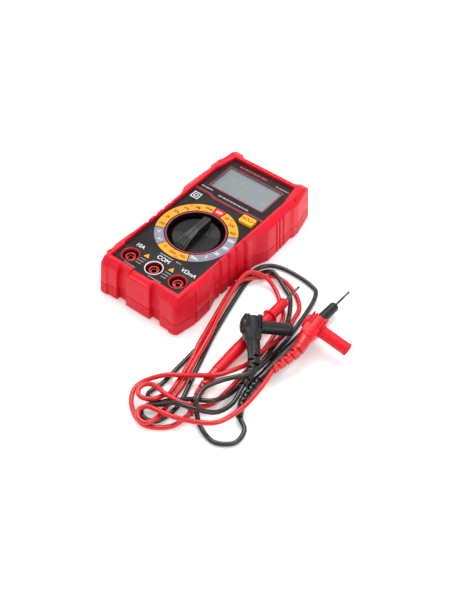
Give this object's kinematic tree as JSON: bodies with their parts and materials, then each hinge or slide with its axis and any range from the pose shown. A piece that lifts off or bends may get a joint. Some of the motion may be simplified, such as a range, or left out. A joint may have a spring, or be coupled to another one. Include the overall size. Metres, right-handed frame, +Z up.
{
  "type": "digital multimeter",
  "caption": "Handheld digital multimeter with a rotary selector, shrouded input sockets, hold button, fold-out stand and a pair of probe leads.",
  "frame": {"origin": "centre of the meter's footprint, on the surface that its feet stand on", "axes": "+Z up out of the face, +Y towards the display end, +X to the user's right, where the leads lie"},
  "size_m": [0.1866, 0.2408, 0.0359],
  "materials": {
    "case_red": "satin, fine texture",
    "case_back": "satin, fine texture",
    "panel_black": "fine matte print",
    "window": "clear, glossy",
    "lcd": "semi-gloss",
    "inner_black": "matte",
    "silicone": "soft",
    "board_green": "solder-mask gloss",
    "chip_black": "matte",
    "part_body": "semi-gloss",
    "copper": "worn bright",
    "fuse_glass": "clear",
    "ceramic_white": "matte",
    "tin": "bright",
    "brass": "bright",
    "knob_black": "satin",
    "nylon": "satin",
    "spring_steel": "bright",
    "button_orange": "soft matte",
    "dome_clear": "soft",
    "jack_red": "gloss",
    "jack_white": "gloss",
    "battery_grey": "satin",
    "screw_steel": "bright",
    "stand_dark": "satin",
    "foot_rubber": "matte",
    "lead_red": "satin, slightly glossy",
    "lead_black": "satin, slightly glossy",
    "plug_red": "satin",
    "plug_black": "satin",
    "nickel": "bright"
  },
  "bodies": {
    "base": {"front_case": "case_red", "rear_case": "case_back", "face_panel": "panel_black", "display_window": "window", "lcd_glass": "lcd", "lcd_holder": "inner_black", "zebra_strips": "silicone", "display_pcb": "board_green", "board_link": "inner_black", "main_pcb": "board_green", "chip_module": "chip_black", "board_parts": "part_body", "shunt_bar": "copper", "fuse_low": "fuse_glass", "fuse_high": "ceramic_white", "fuse_clips": "tin", "buzzer_disc": "brass", "hold_switch": "brass", "hold_dome": "dome_clear", "jack_well_10a": "jack_red", "jack_well_com": "jack_white", "jack_well_volt": "jack_red", "jack_socket_10a": "brass", "jack_socket_com": "brass", "jack_socket_volt": "brass", "battery_9v": "battery_grey", "battery_snap": "inner_black", "battery_leads": "lead_black", "battery_cover": "case_back", "cover_screw": "screw_steel", "case_screws": "screw_steel", "board_screws": "screw_steel", "rubber_feet": "foot_rubber", "red_plug_head": "plug_red", "red_plug_collar": "plug_red", "red_probe_handle": "plug_red", "red_probe_nose": "plug_red", "red_plug_relief": "lead_red", "red_cord": "lead_red", "red_probe_relief": "lead_red", "red_plug_pin": "nickel", "red_probe_tip": "nickel", "black_plug_head": "plug_black", "black_plug_collar": "plug_black", "black_probe_handle": "plug_black", "black_probe_nose": "plug_black", "black_plug_relief": "lead_black", "black_cord": "lead_black", "black_probe_relief": "lead_black", "black_plug_pin": "nickel", "black_probe_tip": "nickel"},
    "selector": {"selector_knob": "knob_black", "contact_carrier": "nylon", "wiper_contacts": "brass", "detent_springs": "spring_steel", "detent_balls": "spring_steel"},
    "hold": {"hold_button": "button_orange"},
    "stand": {"tilt_stand": "stand_dark"}
  },
  "joints": [
    {"name": "selector_turn", "type": "hinge", "parent": "base", "child": "selector", "pos_m": [0, -0.0138, 0.02], "axis": [0, 0, 1], "continuous": true},
    {"name": "hold_press", "type": "slide", "parent": "base", "child": "hold", "axis": [0, 0, -1], "range_m": [0, 0.0012], "stiffness_N_per_m": 1250, "deforming": ["hold_dome"]},
    {"name": "stand_fold", "type": "hinge", "parent": "base", "child": "stand", "pos_m": [0, 0.014, 0.00175], "axis": [1, 0, 0], "range_deg": [0, 65]}
  ]
}
